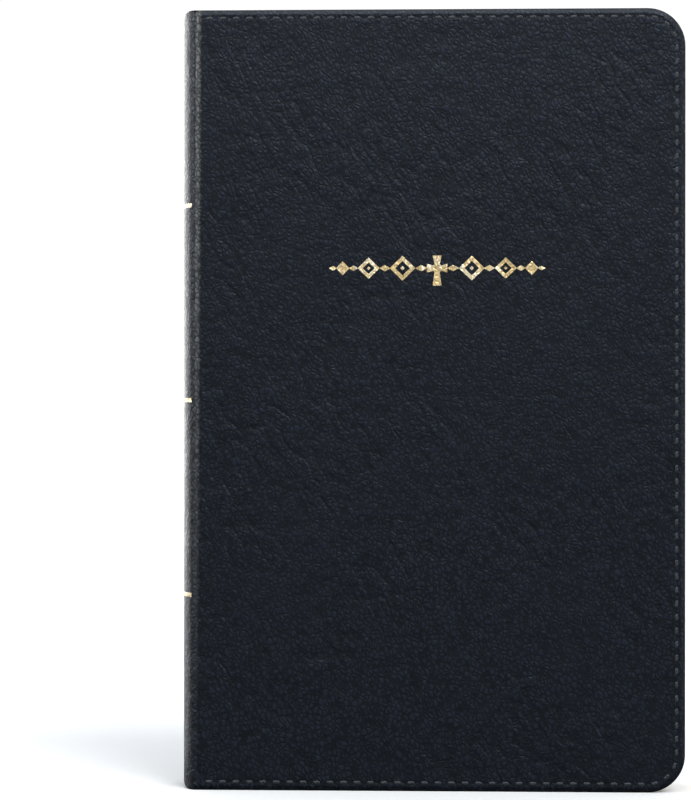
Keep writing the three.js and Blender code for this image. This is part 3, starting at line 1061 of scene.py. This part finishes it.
def make_floor():
    """A plain white table top. In front of the book it shows only dimly in the leather's gloss."""
    shader = Shader("floor")
    shade = shader.noise(shader.node("TexCoord").outputs["Object"], 3.0, 2.0)
    tone = shader.mix(shade, rgb(0.88, 0.89, 0.90), rgb(0.90, 0.91, 0.92))
    gloss = shader.node("LightPath").outputs["Is Glossy Ray"]
    depth = shader.node("SeparateXYZ", {"Vector": shader.node("TexCoord").outputs["Object"]}).outputs["Y"]
    mirrored = shader.mix(shader.span(depth, 0.0, GLOSS_FADE), FRONT_GLOSS_TONE, REAR_GLOSS_TONE)
    tone = shader.mix(gloss, tone, mirrored)
    material = shader.finish(Base_Color=tone, Roughness=0.9, Specular_IOR_Level=0.1)
    reach = FLOOR_REACH
    mesh = bpy.data.meshes.new("floor")
    corners = [(-reach, -reach, 0), (reach, -reach, 0), (reach, reach, 0), (-reach, reach, 0)]
    mesh.from_pydata(corners, [], [(0, 1, 2, 3)])
    mesh.materials.append(material)
    floor = bpy.data.objects.new("floor", mesh)
    bpy.context.scene.collection.objects.link(floor)


def make_softbox(name, place, target, width, height, watts, gloss_only):
    lamp = bpy.data.lights.new(name, "AREA")
    lamp.shape = "RECTANGLE"
    lamp.size, lamp.size_y = width, height
    lamp.energy = watts
    box = bpy.data.objects.new(name, lamp)
    box.location = place
    box.rotation_mode = "QUATERNION"
    box.rotation_quaternion = (Vector(target) - Vector(place)).to_track_quat("-Z", "Y")
    box.visible_camera = False
    box.visible_diffuse = not gloss_only
    bpy.context.scene.collection.objects.link(box)


def make_key(place, softness, strength):
    """A distant, wide key light, which lights the whole floor evenly."""
    lamp = bpy.data.lights.new("key", "SUN")
    lamp.energy = strength
    lamp.angle = math.radians(softness)
    key = bpy.data.objects.new("key", lamp)
    key.rotation_mode = "QUATERNION"
    key.rotation_quaternion = (-Vector(place)).to_track_quat("-Z", "Y")
    bpy.context.scene.collection.objects.link(key)


def make_world():
    """A soft dome, bright overhead and dim near the horizon, with a white backdrop behind everything."""
    world = bpy.data.worlds.new("studio")
    bpy.context.scene.world = world
    world.use_nodes = True
    nodes, links = world.node_tree.nodes, world.node_tree.links
    nodes.clear()
    direction = nodes.new("ShaderNodeTexCoord")
    axes = nodes.new("ShaderNodeSeparateXYZ")
    dome = nodes.new("ShaderNodeMapRange")
    light = nodes.new("ShaderNodeBackground")
    backdrop = nodes.new("ShaderNodeBackground")
    path = nodes.new("ShaderNodeLightPath")
    mix = nodes.new("ShaderNodeMixShader")
    output = nodes.new("ShaderNodeOutputWorld")
    dome.interpolation_type = "SMOOTHSTEP"
    dome.inputs["From Min"].default_value = DOME_START
    dome.inputs["From Max"].default_value = DOME_END
    dome.inputs["To Min"].default_value = DOME_LOW
    dome.inputs["To Max"].default_value = DOME_HIGH
    light.inputs["Color"].default_value = DOME_TONE
    backdrop.inputs["Color"].default_value = rgb(1, 1, 1)
    backdrop.inputs["Strength"].default_value = BACKDROP_STRENGTH
    links.new(direction.outputs["Generated"], axes.inputs["Vector"])
    links.new(axes.outputs["Z"], dome.inputs["Value"])
    links.new(dome.outputs["Result"], light.inputs["Strength"])
    links.new(path.outputs["Is Camera Ray"], mix.inputs["Fac"])
    links.new(light.outputs["Background"], mix.inputs[1])
    links.new(backdrop.outputs["Background"], mix.inputs[2])
    links.new(mix.outputs["Shader"], output.inputs["Surface"])


# The camera stands a little to the fore-edge side, level with the book's middle. Angles are in degrees.
CAMERA_AZIMUTH = 2.77
CAMERA_ELEVATION = 0.09
CAMERA_ROLL = 0.03
CAMERA_DISTANCE = 0.90
FRAME_HEIGHT_AT_BOOK = 0.222
AIM = Vector((-0.0240, -0.012, 0.10855))
SENSOR = 36.0


def make_camera():
    camera = bpy.data.cameras.new("camera")
    camera.sensor_width = SENSOR
    camera.lens = SENSOR * CAMERA_DISTANCE / FRAME_HEIGHT_AT_BOOK
    holder = bpy.data.objects.new("camera", camera)
    turn, rise = math.radians(CAMERA_AZIMUTH), math.radians(CAMERA_ELEVATION)
    back = Vector((math.sin(turn) * math.cos(rise), -math.cos(turn) * math.cos(rise), math.sin(rise)))
    holder.location = AIM + back * CAMERA_DISTANCE
    holder.rotation_mode = "QUATERNION"
    level = (-back).to_track_quat("-Z", "Y")
    holder.rotation_quaternion = level @ Quaternion((0, 0, 1), math.radians(CAMERA_ROLL))
    bpy.context.scene.collection.objects.link(holder)
    bpy.context.scene.camera = holder


make_floor()
make_world()
make_key(KEY_PLACE, KEY_DEGREES, KEY_STRENGTH)
for softbox in SOFTBOXES:
    make_softbox(*softbox)
make_camera()
bpy.context.scene.view_settings.view_transform = "Standard"
